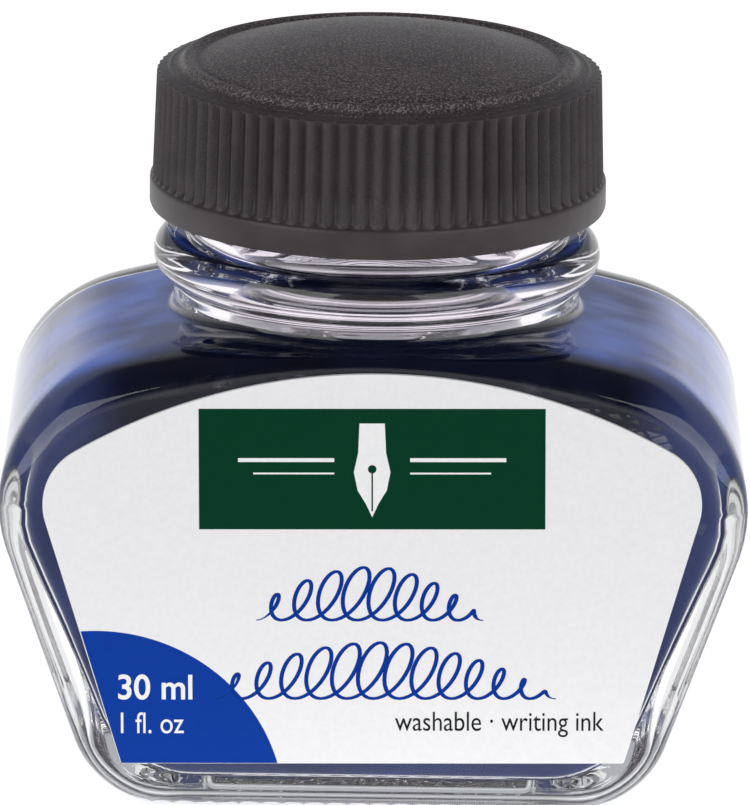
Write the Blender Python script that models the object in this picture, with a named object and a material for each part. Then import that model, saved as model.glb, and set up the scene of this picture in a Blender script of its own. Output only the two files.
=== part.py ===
"""Ink bottle: a flat-fronted glass bottle with slanted sides and an arched shoulder, filled
with ink, closed by a ribbed screw cap with a sealing wad, and labelled front and back.

The origin is the middle of the base, +Z is up and the front face looks along -Y.
"""
import math

import bmesh
import bpy

MM = 0.001
GAP = 0.3 * MM                      # clearance between pieces that touch
OVERLAP = 1.0 * MM                  # how far a cutting tool reaches past what it cuts
MERGE_DISTANCE = 0.01 * MM
SMOOTH_ANGLE = math.radians(35)
ARCH_STEPS = 6                      # facets of the outline's arcs
CORNER_STEPS = 6
HEEL_STEPS = 4

# Body, seen from the front: outline at mid depth, then outline of the flat faces
SIDE_TILT = math.radians(19.1)      # the sides lean in towards the base
HALF_WIDTH = 29.75 * MM             # widest, at the corner
APEX_Z = 39.0 * MM                  # top of the arched shoulder
ARCH_RADIUS = 80.0 * MM
CORNER_RADIUS = 11.6 * MM           # where the shoulder turns down into the side
HEEL_RADIUS = 7.8 * MM
FACE_HALF_WIDTH = 26.85 * MM
FACE_APEX_Z = 36.8 * MM
FACE_ARCH_RADIUS = 48.0 * MM
FACE_CORNER_RADIUS = 6.5 * MM
FACE_BOTTOM_Z = 3.2 * MM
FACE_HEEL_RADIUS = 1.5 * MM

# Body, seen from the side
HALF_DEPTH = 18.4 * MM
EDGE_DEPTHS = (3.0 * MM, 2.0 * MM, 7.0 * MM)   # rounding into the faces: base, side, shoulder
EDGE_STEPS = 4
FOOT_WIDTH = 3.0 * MM               # bearing ring round the hollow in the base
FOOT_CORNER_RADIUS = 4.0 * MM
FOOT_HEIGHT = 0.6 * MM

# Cavity
SIDE_WALL = 2.1 * MM
SHOULDER_WALL = 2.8 * MM
BASE_WALL = 2.3 * MM
FACE_WALL = 2.9 * MM
CAVITY_TILT = math.radians(22)
CAVITY_ARCH_RADIUS = 78.0 * MM
CAVITY_CORNER_RADIUS = 9.5 * MM
CAVITY_HEEL_RADIUS = 8.0 * MM
CAVITY_EDGE = 1.6 * MM
CAVITY_EDGE_DEPTHS = (2.0 * MM, 2.2 * MM, 6.5 * MM)
INK_LEVEL_Z = 37.3 * MM             # just inside the neck

# Neck finish
NECK_SEGMENTS = 48
RECESS_RADIUS = 16.3 * MM           # under the bead
NECK_SUNK = 8.0 * MM                # how far the neck runs down into the shoulder
BEAD_RADIUS = 17.95 * MM
BEAD_Z = 41.8 * MM
BEAD_SECTION = 2.0 * MM
NECK_RADIUS = 15.0 * MM             # thread root
RIM_Z = 55.2 * MM
RIM_ROUND = 0.8 * MM
BORE_RADIUS = 11.5 * MM
BORE_FLARE = 1.5 * MM               # the bore opens out into the shoulder
PLUG_LENGTH = 6.0 * MM              # the ink's column in the neck

# Thread: right hand, six turns to the inch, shared by neck and cap
LEAD = 25.4 / 6 * MM
THREAD_TURNS = 1.25
THREAD_STEPS_PER_TURN = 40
THREAD_START = math.radians(-57.3)  # where the lower end of the thread lies
THREAD_FADE = math.radians(35)      # run-out at both ends
THREAD_END = 0.12                   # share of the full height where it starts and ends
NECK_THREAD_TOP_Z = 53.6 * MM
NECK_THREAD_HEIGHT = 1.25 * MM
NECK_THREAD_ROOT = 2.4 * MM         # width at the root
NECK_THREAD_CREST = 0.9 * MM        # width at the crest
CAP_THREAD_HEIGHT = 1.15 * MM
CAP_THREAD_ROOT = 1.7 * MM
CAP_THREAD_CREST = 0.7 * MM
CAP_THREAD_BELOW = 1.75 * MM        # the cap's ridge bears under the neck's ridge
THREAD_BURIED = 0.25 * MM

# Cap
RIB_COUNT = 81
CAP_BOTTOM_Z = 45.7 * MM
BAND_RADIUS = 18.3 * MM             # smooth lower band
BAND_TOP_Z = 48.1 * MM
RIB_RADIUS_LOW = 18.08 * MM         # crests; the grip drafts in towards the top
RIB_RADIUS_HIGH = 17.8 * MM
RIB_DEPTH = 0.45 * MM
RIB_TOP_Z = 56.7 * MM
TOP_EDGE_RADIUS = 16.8 * MM
TOP_EDGE_Z = 57.0 * MM
RING_OUTER = 15.9 * MM
RING_INNER = 15.1 * MM
RING_Z = 57.75 * MM
GROOVE_RADIUS = 14.5 * MM
GROOVE_Z = 57.5 * MM
DOME_TOP_Z = 59.8 * MM
DOME_STEPS = 3
DOME_FLAT_RADIUS = 1.0 * MM
CAP_BORE_RADIUS = 16.6 * MM
CEILING_Z = 56.8 * MM

# Sealing wad
LINER_RADIUS = 16.1 * MM
LINER_THICKNESS = 1.0 * MM

# Labels
LABEL_HALF_WIDTH = 26.1 * MM
LABEL_TOP_Z = 36.6 * MM
LABEL_ARCH_RADIUS = 46.6 * MM
LABEL_CORNER_RADIUS = 5.0 * MM
LABEL_BOTTOM_Z = 4.5 * MM
LABEL_BOTTOM_RADIUS = 0.2 * MM
LABEL_TILT = math.radians(16.4)
LABEL_THICKNESS = 0.15 * MM


def clear_scene():
    for item in list(bpy.data.objects):
        bpy.data.objects.remove(item)


def material(name, color, roughness, metallic=0.0, alpha=1.0):
    made = bpy.data.materials.new(name)
    made.use_nodes = True
    shader = made.node_tree.nodes["Principled BSDF"]
    shader.inputs["Base Color"].default_value = (*color, 1.0)
    shader.inputs["Roughness"].default_value = roughness
    shader.inputs["Metallic"].default_value = metallic
    shader.inputs["Alpha"].default_value = alpha
    made.diffuse_color = (*color, alpha)
    return made


def add_object(name, mesh, surface=None):
    made = bpy.data.objects.new(name, mesh)
    bpy.context.scene.collection.objects.link(made)
    if surface:
        mesh.materials.append(surface)
        mesh.shade_smooth()
        mesh.set_sharp_from_angle(angle=SMOOTH_ANGLE)
    return made


def skin(name, rings):
    """A closed mesh through rings of equally many points, capped at both ends."""
    bm = bmesh.new()
    loops = [[bm.verts.new(point) for point in ring] for ring in rings]
    for lower, upper in zip(loops, loops[1:]):
        for i in range(len(lower)):
            j = (i + 1) % len(lower)
            bm.faces.new((lower[i], lower[j], upper[j], upper[i]))
    bm.faces.new(loops[0][::-1])
    bm.faces.new(loops[-1])
    bmesh.ops.recalc_face_normals(bm, faces=bm.faces)
    mesh = bpy.data.meshes.new(name)
    bm.to_mesh(mesh)
    bm.free()
    return mesh


def turned(name, profile, segments, surface=None):
    """A profile of (radius, z) points, listed top to bottom, turned about Z."""
    mesh = bpy.data.meshes.new(name)
    points = [(radius, 0.0, z) for radius, z in profile]
    edges = [(i, i + 1) for i in range(len(points) - 1)]
    mesh.from_pydata(points, edges, [])
    made = add_object(name, mesh, surface)
    screw = made.modifiers.new("turn", "SCREW")
    screw.steps = segments
    screw.render_steps = segments
    screw.use_merge_vertices = True
    screw.merge_threshold = MERGE_DISTANCE
    return made


def boolean(target, operation, tool):
    cut = target.modifiers.new(operation.lower() + " " + tool.name, "BOOLEAN")
    cut.operation = operation
    cut.solver = "EXACT"
    cut.object = tool
    tool.hide_render = True
    tool.display_type = "WIRE"


def arc(center, radius, start, end, steps):
    """Points on an arc in the XZ plane, both ends included; angles from +X towards +Z."""
    angles = [start + (end - start) * i / steps for i in range(steps + 1)]
    return [(center[0] + radius * math.cos(a), center[1] + radius * math.sin(a)) for a in angles]


def bottle_outline(half_width, apex_z, arch_radius, corner_radius, bottom_z, heel_radius,
                   tilt=SIDE_TILT):
    """The closed front outline as (x, z) points: arch, corners, slanted sides and heels.

    Every arc meets its neighbour at a tangent.
    """
    arch_center_z = apex_z - arch_radius
    corner_x = half_width - corner_radius
    corner_z = arch_center_z + math.sqrt((arch_radius - corner_radius) ** 2 - corner_x ** 2)
    corner_start = math.atan2(corner_z - arch_center_z, corner_x)
    side_x = corner_x + corner_radius / math.cos(tilt)      # side line at corner height
    heel_z = bottom_z + heel_radius
    heel_x = side_x - (corner_z - heel_z) * math.tan(tilt) - heel_radius / math.cos(tilt)

    right = arc((0.0, arch_center_z), arch_radius, math.pi / 2, corner_start, ARCH_STEPS)
    right += arc((corner_x, corner_z), corner_radius, corner_start, -tilt, CORNER_STEPS)[1:]
    right += arc((heel_x, heel_z), heel_radius, -tilt, -math.pi / 2, HEEL_STEPS)
    left = [(-x, z) for x, z in reversed(right[1:])]
    return right + left


def body_outline():
    return bottle_outline(HALF_WIDTH, APEX_Z, ARCH_RADIUS, CORNER_RADIUS, 0.0, HEEL_RADIUS)


def body_rings():
    """Rings of the body from the front face to the back face."""
    middle = body_outline()
    face = bottle_outline(FACE_HALF_WIDTH, FACE_APEX_Z, FACE_ARCH_RADIUS, FACE_CORNER_RADIUS,
                          FACE_BOTTOM_Z, FACE_HEEL_RADIUS)
    return slab_rings(middle, face, HALF_DEPTH, EDGE_DEPTHS)


def cavity_rings(clearance):
    """The hollow that holds the ink, shrunk by a clearance."""
    half_width = HALF_WIDTH - SIDE_WALL - clearance
    apex_z = APEX_Z - SHOULDER_WALL - clearance
    bottom_z = BASE_WALL + clearance
    shrinks = (0.0, CAVITY_EDGE)
    middle, face = (bottle_outline(half_width - shrink, apex_z - shrink,
                                   CAVITY_ARCH_RADIUS - clearance - shrink,
                                   CAVITY_CORNER_RADIUS - clearance - shrink, bottom_z + shrink,
                                   CAVITY_HEEL_RADIUS - clearance - shrink, CAVITY_TILT)
                    for shrink in shrinks)
    half_depth = HALF_DEPTH - FACE_WALL - clearance
    return slab_rings(middle, face, half_depth, CAVITY_EDGE_DEPTHS)


def slab_rings(middle, face, half_depth, edge_depths):
    """Rings through a slab whose outline rounds from the middle one to the face's.

    The rounding's depth runs from the base's over the side's to the shoulder's.
    """
    base_depth, side_depth, top_depth = edge_depths
    heights = [z for x, z in middle]
    bottom, top = min(heights), max(heights)
    widest = max(middle)[1]
    depths = []
    for z in heights:
        if z < widest:
            share = (widest - z) / (widest - bottom)
            depths.append(side_depth + (base_depth - side_depth) * share ** 2)
        else:
            share = (z - widest) / (top - widest)
            depths.append(side_depth + (top_depth - side_depth) * share * share * (3 - 2 * share))
    rings = []
    for i in range(EDGE_STEPS + 1):
        angle = math.pi / 2 * i / EDGE_STEPS
        reach = math.sin(angle)
        rings.append([(xf + (xm - xf) * reach, depth * (1 - math.cos(angle)) - half_depth,
                       zf + (zm - zf) * reach)
                      for (xm, zm), (xf, zf), depth in zip(middle, face, depths)])
    return rings + [[(x, -y, z) for x, y, z in ring] for ring in reversed(rings)]


def thread_ridge(name, top_z, root_radius, height, root_width, crest_width):
    """A helical ridge, on a neck if height is positive or inside a cap if it is negative."""
    steps = round(THREAD_TURNS * THREAD_STEPS_PER_TURN)
    sweep = THREAD_TURNS * 2 * math.pi
    sink = math.copysign(THREAD_BURIED, height)
    rings = []
    for i in range(steps + 1):
        angle = sweep * i / steps
        full = min(1.0, angle / THREAD_FADE, (sweep - angle) / THREAD_FADE)
        full = max(THREAD_END, math.sin(full * math.pi / 2))
        z = top_z - LEAD * THREAD_TURNS + LEAD * angle / (2 * math.pi)
        section = [(root_radius - sink, -root_width / 2),
                   (root_radius + height * full, -crest_width / 2),
                   (root_radius + height * full, crest_width / 2),
                   (root_radius - sink, root_width / 2)]
        turn = angle + THREAD_START
        rings.append([(radius * math.cos(turn), radius * math.sin(turn), z + dz)
                      for radius, dz in section])
    return add_object(name, skin(name, rings))


def make_glass_bottle():
    glass = material("clear_glass", (0.85, 0.87, 0.88), 0.02, alpha=0.35)
    bottle = add_object("glass_bottle", skin("glass_bottle", body_rings()), glass)

    bead_z_low = BEAD_Z - BEAD_SECTION
    bead_center = BEAD_RADIUS - BEAD_SECTION
    bead = arc((bead_center, BEAD_Z), BEAD_SECTION, math.radians(70), math.radians(-75), 8)
    lip = arc((NECK_RADIUS - RIM_ROUND, RIM_Z - RIM_ROUND), RIM_ROUND, math.pi / 2, 0.0, 3)
    neck = turned("neck", [(0.0, RIM_Z)] + lip + [(NECK_RADIUS, BEAD_Z + BEAD_SECTION)] + bead
                  + [(RECESS_RADIUS, bead_z_low), (RECESS_RADIUS, APEX_Z - NECK_SUNK),
                     (0.0, APEX_Z - NECK_SUNK)], NECK_SEGMENTS)
    thread = thread_ridge("neck_thread", NECK_THREAD_TOP_Z, NECK_RADIUS, NECK_THREAD_HEIGHT,
                          NECK_THREAD_ROOT, NECK_THREAD_CREST)
    cavity = add_object("cavity", skin("cavity", cavity_rings(0.0)))
    ceiling_z = APEX_Z - SHOULDER_WALL
    bore = turned("bore", [(0.0, RIM_Z + OVERLAP), (BORE_RADIUS, RIM_Z + OVERLAP),
                           (BORE_RADIUS, ceiling_z + BORE_FLARE),
                           (BORE_RADIUS + BORE_FLARE, ceiling_z - 2 * BORE_FLARE),
                           (0.0, ceiling_z - 2 * BORE_FLARE)], NECK_SEGMENTS)
    bore.rotation_euler.z = math.pi / NECK_SEGMENTS
    foot_x = max(x for x, z in body_outline() if z < 0.001 * MM) - FOOT_WIDTH
    foot_y = HALF_DEPTH - EDGE_DEPTHS[0] - FOOT_WIDTH
    hollow = add_object("foot_hollow", rounded_block("foot_hollow", foot_x, foot_y))
    for operation, tool in (("UNION", neck), ("UNION", thread), ("DIFFERENCE", cavity),
                            ("DIFFERENCE", bore), ("DIFFERENCE", hollow)):
        boolean(bottle, operation, tool)
    return bottle


def rounded_block(name, half_x, half_y):
    """A block with round upright corners that cuts the hollow in the base."""
    radius = FOOT_CORNER_RADIUS
    plan = []
    for sign_x, sign_y, start in ((1, 1, 0.0), (-1, 1, 0.5), (-1, -1, 1.0), (1, -1, 1.5)):
        center = (sign_x * (half_x - radius), sign_y * (half_y - radius))
        plan += arc(center, radius, start * math.pi, (start + 0.5) * math.pi, CORNER_STEPS)
    return skin(name, [[(x, y, z) for x, y in plan] for z in (-OVERLAP, FOOT_HEIGHT)])


def make_ink():
    """The fill: the hollow below the shoulder and a plug that stands in the neck."""
    ink_color = material("ink", (0.01, 0.02, 0.10), 0.1)
    ink = add_object("ink", skin("ink", cavity_rings(GAP)), ink_color)
    radius, low_z = BORE_RADIUS - GAP, INK_LEVEL_Z - PLUG_LENGTH
    plug = turned("ink_plug", [(0.0, INK_LEVEL_Z), (radius, INK_LEVEL_Z), (radius, low_z),
                               (0.0, low_z)], NECK_SEGMENTS)
    plug.rotation_euler.z = math.pi / NECK_SEGMENTS
    boolean(ink, "UNION", plug)
    return ink


def circle(radius, z, valley=0.0):
    """A ring of two points to a rib; the second sinks by the rib's depth."""
    ring = []
    for i in range(2 * RIB_COUNT):
        angle = math.pi * i / RIB_COUNT
        reach = radius - (valley if i % 2 else 0.0)
        ring.append((reach * math.cos(angle), reach * math.sin(angle), z))
    return ring


def make_screw_cap():
    black = material("black_plastic", (0.035, 0.033, 0.034), 0.5)
    rings = [circle(BAND_RADIUS, CAP_BOTTOM_Z), circle(BAND_RADIUS, BAND_TOP_Z),
             circle(RIB_RADIUS_LOW, BAND_TOP_Z + 0.1 * MM, RIB_DEPTH),
             circle(RIB_RADIUS_HIGH, RIB_TOP_Z, RIB_DEPTH),
             circle(TOP_EDGE_RADIUS, TOP_EDGE_Z),
             circle(RING_OUTER, RING_Z), circle(RING_INNER, RING_Z),
             circle(GROOVE_RADIUS, GROOVE_Z)]
    for i in range(1, DOME_STEPS):
        reach = 1 - i / DOME_STEPS
        rings.append(circle(GROOVE_RADIUS * reach,
                            GROOVE_Z + (DOME_TOP_Z - GROOVE_Z) * (1 - reach ** 2)))
    rings.append(circle(DOME_FLAT_RADIUS, DOME_TOP_Z))
    cap = add_object("screw_cap", skin("screw_cap", rings), black)

    bore = turned("cap_bore", [(0.0, CEILING_Z), (CAP_BORE_RADIUS, CEILING_Z),
                               (CAP_BORE_RADIUS, CAP_BOTTOM_Z - OVERLAP),
                               (0.0, CAP_BOTTOM_Z - OVERLAP)], 2 * NECK_SEGMENTS)
    thread = thread_ridge("cap_thread", NECK_THREAD_TOP_Z - CAP_THREAD_BELOW, CAP_BORE_RADIUS,
                          -CAP_THREAD_HEIGHT, CAP_THREAD_ROOT, CAP_THREAD_CREST)
    boolean(cap, "DIFFERENCE", bore)
    boolean(cap, "UNION", thread)
    return cap


def make_cap_liner():
    foam = material("liner", (0.80, 0.79, 0.75), 0.7)
    top = CEILING_Z - GAP
    return turned("cap_liner", [(0.0, top), (LINER_RADIUS, top),
                                (LINER_RADIUS, top - LINER_THICKNESS),
                                (0.0, top - LINER_THICKNESS)], NECK_SEGMENTS, foam)


def make_label(name, side, surface):
    """A thin sheet on the flat front (side -1) or back (side +1) face."""
    outline = bottle_outline(LABEL_HALF_WIDTH, LABEL_TOP_Z, LABEL_ARCH_RADIUS, LABEL_CORNER_RADIUS,
                             LABEL_BOTTOM_Z, LABEL_BOTTOM_RADIUS, LABEL_TILT)
    near = side * (HALF_DEPTH + GAP)
    far = side * (HALF_DEPTH + GAP + LABEL_THICKNESS)
    rings = [[(x, y, z) for x, z in outline] for y in (near, far)]
    return add_object(name, skin(name, rings), surface)


def main():
    clear_scene()
    paper = material("label_paper", (0.86, 0.86, 0.86), 0.45)
    make_glass_bottle()
    make_ink()
    make_screw_cap()
    make_cap_liner()
    make_label("front_label", -1, paper)
    make_label("back_label", 1, paper)


main()
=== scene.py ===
"""The finished look of the ink bottle: clear moulded glass with rounded edges, a knurled foot
and a real thread, dark blue ink, a ribbed black screw cap, its wad, and the two labels.

Lengths inside the shape functions are in millimetres; every mesh is made in metres.
"""
import math

import bmesh
import bpy
import numpy as np
from mathutils import Matrix, Vector


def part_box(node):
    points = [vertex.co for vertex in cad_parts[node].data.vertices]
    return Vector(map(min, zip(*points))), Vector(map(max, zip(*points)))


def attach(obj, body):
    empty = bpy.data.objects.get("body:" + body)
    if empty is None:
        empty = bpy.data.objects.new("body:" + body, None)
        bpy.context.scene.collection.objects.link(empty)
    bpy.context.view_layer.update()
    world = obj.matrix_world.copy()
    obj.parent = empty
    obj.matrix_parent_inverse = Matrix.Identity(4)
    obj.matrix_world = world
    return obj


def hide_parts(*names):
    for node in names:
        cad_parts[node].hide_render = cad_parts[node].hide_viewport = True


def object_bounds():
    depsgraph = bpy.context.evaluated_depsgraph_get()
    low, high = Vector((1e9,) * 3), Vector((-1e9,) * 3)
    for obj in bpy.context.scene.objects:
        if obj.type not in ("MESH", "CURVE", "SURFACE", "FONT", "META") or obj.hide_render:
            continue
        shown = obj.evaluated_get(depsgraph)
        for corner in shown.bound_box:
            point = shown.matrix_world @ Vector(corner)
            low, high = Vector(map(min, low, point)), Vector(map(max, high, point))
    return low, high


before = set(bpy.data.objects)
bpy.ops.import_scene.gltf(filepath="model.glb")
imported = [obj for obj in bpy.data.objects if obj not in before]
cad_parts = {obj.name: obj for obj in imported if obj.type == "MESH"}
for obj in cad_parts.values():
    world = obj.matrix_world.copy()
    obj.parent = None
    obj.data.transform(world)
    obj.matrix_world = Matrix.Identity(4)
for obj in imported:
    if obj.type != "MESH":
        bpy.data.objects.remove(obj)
cad_low, cad_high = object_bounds()
MM = 0.001

# Sizes read from the frame
GLASS_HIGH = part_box("glass_bottle")[1] / MM
CAP_LOW, CAP_HIGH = (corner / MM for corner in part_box("screw_cap"))
LINER_LOW, LINER_HIGH = (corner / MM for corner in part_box("cap_liner"))
LABEL_LOW, LABEL_HIGH = (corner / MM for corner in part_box("front_label"))
INK_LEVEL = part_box("ink")[1].z / MM + 0.3       # at the wall, which the ink climbs
HALF_WIDTH = GLASS_HIGH.x
HALF_DEPTH = GLASS_HIGH.y
RIM_Z = GLASS_HIGH.z

# Driving dimensions, in millimetres
TILT = math.radians(19.1)           # the sides lean in towards the base
WALL_SIDE, WALL_FACE, WALL_BASE = 2.1, 2.9, 2.3
RECESS_RADIUS = 16.3                # neck under the bead
RECESS_TOP_Z = 39.3                 # where the shoulder's sweep ends on the neck
CAVITY_TOP_Z = 38.8                 # where the cavity's sweep ends in the bore
BEAD_RADIUS = 17.95
BEAD_Z = 41.8
BEAD_SECTION = 2.0
NECK_RADIUS = 15.0
BORE_RADIUS = 11.5
RIM_ROUND, MOUTH_ROUND = 0.8, 0.7   # the rim's outer and inner edges
LEAD = 25.4 / 6
THREAD_TURNS = 1.25
THREAD_START = math.radians(-57.3)
THREAD_TOP_Z = 53.6
THREAD_HEIGHT = 1.25
THREAD_ROOT, THREAD_CREST = 2.4, 0.9            # widths of the neck's ridge
THREAD_FADE = math.radians(35)      # run-out at both ends
CAP_THREAD_BELOW = 1.75             # the cap's ridge runs under the neck's ridge
CAP_THREAD_HEIGHT = 1.15
CAP_THREAD_ROOT, CAP_THREAD_CREST = 1.8, 0.7
CAP_BORE, CAP_CEILING = 16.6, 56.8
RIB_COUNT = 81
RIB_DEPTH = 0.46
RIB_LOW_RADIUS, RIB_HIGH_RADIUS = 18.08, 17.8
RIB_TOP_Z = 56.68
BAND_HEIGHT = 2.4                   # the cap's smooth lower band


# ---------------------------------------------------------------- mesh helpers

def to_object(name, bm, surface, body, replaced=(), sharp_angle=40):
    """Turns a bmesh in millimetres into a smooth-shaded object riding on a body."""
    bmesh.ops.scale(bm, vec=(MM, MM, MM), verts=bm.verts)
    mesh = bpy.data.meshes.new(name)
    bm.to_mesh(mesh)
    bm.free()
    mesh.shade_smooth()
    if sharp_angle:
        mesh.set_sharp_from_angle(angle=math.radians(sharp_angle))
    made = bpy.data.objects.new(name, mesh)
    bpy.context.scene.collection.objects.link(made)
    mesh.materials.append(surface)
    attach(made, body)
    if replaced:
        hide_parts(*replaced)
    return made


def skin_rings(bm, rings):
    """Quads between rings of equally many points; a ring with a multiple of the points of its
    neighbour joins it with wider faces. The ends close onto a centre point."""
    loops = [[bm.verts.new(point) for point in ring] for ring in rings]
    for one, two in zip(loops, loops[1:]):
        if len(one) < len(two):
            coarse, fine, flip = one, two, False
        else:
            coarse, fine, flip = two, one, True
        step = len(fine) // len(coarse)
        for i in range(len(coarse)):
            j = (i + 1) % len(coarse)
            strip = [fine[(i * step + k) % len(fine)] for k in range(step, -1, -1)]
            face = [coarse[i], coarse[j]] + strip
            bm.faces.new(face[::-1] if flip else face)
    for loop, flip in ((loops[0], True), (loops[-1], False)):
        middle = bm.verts.new(sum((v.co for v in loop), Vector()) / len(loop))
        for i in range(len(loop)):
            tri = [loop[i], loop[(i + 1) % len(loop)], middle]
            bm.faces.new(tri[::-1] if flip else tri)
    bmesh.ops.recalc_face_normals(bm, faces=bm.faces)


def arc(center, radius, start, end, steps):
    """Points on an arc in the plane, both ends included; angles in degrees."""
    angles = np.radians(np.linspace(start, end, steps + 1))
    return [(center[0] + radius * math.cos(a), center[1] + radius * math.sin(a)) for a in angles]


def circle(radius, z, count):
    """A level ring, starting at the front (-Y) and going to +X; the radius may vary."""
    angles = np.linspace(0, 2 * math.pi, count, endpoint=False)
    return np.stack([radius * np.sin(angles), -radius * np.cos(angles),
                     np.broadcast_to(z, angles.shape)], axis=1)


def turned(profile, count):
    """Rings of a profile of (radius, z) points turned about Z."""
    return [circle(radius, z, count) for radius, z in profile]


# ---------------------------------------------------------------- the bottle's outline

class Outline:
    """Front outline of tangent arcs: arch, corner, slanted side, heel and flat bottom."""

    def __init__(self, half_width, apex, arch_radius, corner_radius, bottom, heel_radius, tilt):
        self.apex, self.arch_radius, self.bottom, self.tilt = apex, arch_radius, bottom, tilt
        self.arch_z = apex - arch_radius
        self.corner_radius, self.heel_radius = corner_radius, heel_radius
        self.corner_x = half_width - corner_radius
        reach = math.sqrt((arch_radius - corner_radius) ** 2 - self.corner_x ** 2)
        self.corner_z = self.arch_z + reach
        self.corner_start = math.atan2(self.corner_x, reach)
        self.side_x = self.corner_x + corner_radius / math.cos(tilt)
        self.heel_z = bottom + heel_radius
        self.heel_x = (self.side_x - (self.corner_z - self.heel_z) * math.tan(tilt)
                       - heel_radius / math.cos(tilt))

    def distance(self, x, z):
        """Signed distance in the XZ plane, negative inside; good near the outline."""
        x = np.abs(x)
        side = (x - self.side_x + (self.corner_z - z) * math.tan(self.tilt)) * math.cos(self.tilt)
        from_arch = np.arctan2(x, z - self.arch_z)
        from_corner = np.arctan2(x - self.corner_x, z - self.corner_z)
        from_heel = np.arctan2(x - self.heel_x, z - self.heel_z)
        right_angle = math.pi / 2 + self.tilt
        result = side
        heel = np.hypot(x - self.heel_x, z - self.heel_z) - self.heel_radius
        result = np.where(from_heel > right_angle, heel, result)
        result = np.where((x < self.heel_x) & (z < self.corner_z), self.bottom - z, result)
        corner = np.hypot(x - self.corner_x, z - self.corner_z) - self.corner_radius
        in_corner = (from_corner < right_angle) & (z > self.corner_z - self.corner_radius)
        in_corner &= (x > self.corner_x) | (z > self.corner_z)
        result = np.where(in_corner, corner, result)
        arch = np.hypot(x, z - self.arch_z) - self.arch_radius
        in_arch = (from_arch < self.corner_start) & (z > self.corner_z)
        return np.where(in_arch, arch, result)

    def half_width(self, z):
        """Half width of the outline at a height below the corner."""
        line = self.side_x - (self.corner_z - z) * math.tan(self.tilt)
        drop = np.clip(self.heel_z - z, 0, self.heel_radius)
        heel = self.heel_x + np.sqrt(self.heel_radius ** 2 - drop ** 2)
        return np.where(z < self.heel_z - self.heel_radius * math.sin(self.tilt), heel, line)

    def height(self, x):
        """Height of the arch and the corner above x."""
        x = np.abs(x)
        arch = self.arch_z + np.sqrt(self.arch_radius ** 2 - x ** 2)
        past = np.clip(x - self.corner_x, 0, self.corner_radius)
        corner = self.corner_z + np.sqrt(self.corner_radius ** 2 - past ** 2)
        return np.where(x < self.arch_radius * math.sin(self.corner_start), arch, corner)


class Shell:
    """One surface of the bottle: a rounded slab blended into an upright cylinder."""

    def __init__(self, outline, half_depth, insets, edge_depths, radius, blend):
        self.outline, self.half_depth = outline, half_depth
        self.insets, self.edge_depths = insets, edge_depths
        self.radius, self.blend = radius, blend

    def edge_at(self, x, z):
        """Inset and depth of the rounded edge of the face: at the base, the side, the top."""
        low, side, top = self.outline.bottom + 2.0, self.outline.corner_z, self.outline.apex
        foot = np.clip((side - z) / (side - low), 0, 1)
        high = np.clip((z - side) / (top - side), 0, 1)
        middle = np.clip(1 - np.abs(x) / 24.0, 0, 1)
        ease = np.clip(high * 1.6 - 0.4, 0, 1) * middle * (2 - middle)
        base_inset, side_inset, top_inset = self.insets
        base_depth, side_depth, top_depth = self.edge_depths
        inset = side_inset + (base_inset - side_inset) * foot ** 2
        inset = inset + (top_inset - side_inset) * ease
        smooth = high * high * (3 - 2 * high)
        depth = side_depth + (base_depth - side_depth) * foot ** 2
        return inset, depth + (top_depth - side_depth) * smooth

    def value(self, points):
        """Roughly the signed distance of points from the surface, negative inside."""
        x, y, z = points.T
        inset, depth = self.edge_at(x, z)
        across = self.outline.distance(x, z) + inset
        through = (np.abs(y) - self.half_depth) * inset / depth + inset
        outside = np.hypot(np.maximum(across, 0), np.maximum(through, 0))
        slab = np.minimum(np.maximum(across, through), 0) + outside - inset
        tube = np.hypot(x, y) - self.radius
        tube = np.maximum(tube, self.outline.corner_z - z)
        mix = np.clip(0.5 + 0.5 * (tube - slab) / self.blend, 0, 1)
        return tube * (1 - mix) + slab * mix - self.blend * mix * (1 - mix)

    def settle(self, ring, keep_z=False):
        """Moves points onto the surface along its gradient."""
        p = np.array(ring, float)
        near, longest_step = 0.002, 1.5
        for _ in range(14):
            value = self.value(p)
            slope = np.stack([(self.value(p + near * axis) - self.value(p - near * axis))
                              / (2 * near) for axis in np.eye(3)], axis=1)
            if keep_z:
                slope[:, 2] = 0
            size = np.maximum((slope ** 2).sum(axis=1), 0.05)
            p -= np.clip(value / size, -longest_step, longest_step)[:, None] * slope
        return p


FRONT_STEPS, CORNER_STEPS, SIDE_STEPS = 22, 12, 14       # points of a quarter ring
QUARTER = FRONT_STEPS + CORNER_STEPS + SIDE_STEPS
RING = 4 * QUARTER


def mirror_quarter(x, y, z):
    """A full ring from the quarter between the front middle and the right middle."""
    xs = np.concatenate([x[:-1], x[:0:-1], -x[:-1], -x[:0:-1]])
    ys = np.concatenate([y[:-1], -y[:0:-1], -y[:-1], y[:0:-1]])
    zs = np.concatenate([z[:-1], z[:0:-1], z[:-1], z[:0:-1]])
    return np.stack([xs, ys, zs], axis=1)


def plan_quarter(width, depth, corner_x, corner_y):
    """Front flat, elliptical corner and side of a quarter of a rounded rectangle."""
    flat = width - corner_x
    front_x = flat * np.linspace(0, 1, FRONT_STEPS + 1)
    turn = np.linspace(0, math.pi / 2, CORNER_STEPS + 1)[1:]
    side_y = (depth - corner_y) * np.linspace(1, 0, SIDE_STEPS + 1)[1:]
    x = np.concatenate([front_x, flat + corner_x * np.sin(turn), np.full(SIDE_STEPS, width)])
    y = -np.concatenate([np.full(FRONT_STEPS + 1, depth),
                         depth - corner_y * (1 - np.cos(turn)), side_y])
    return x, y


def slice_ring(shell, z):
    """The shell's ring at a height between its base and its widest place."""
    width = float(shell.outline.half_width(np.array(z)))
    x, y = plan_quarter(width, shell.half_depth, *shell.edge_at(np.array(width), np.array(z)))
    return shell.settle(mirror_quarter(x, y, np.full(len(x), float(z))), keep_z=True)


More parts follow.
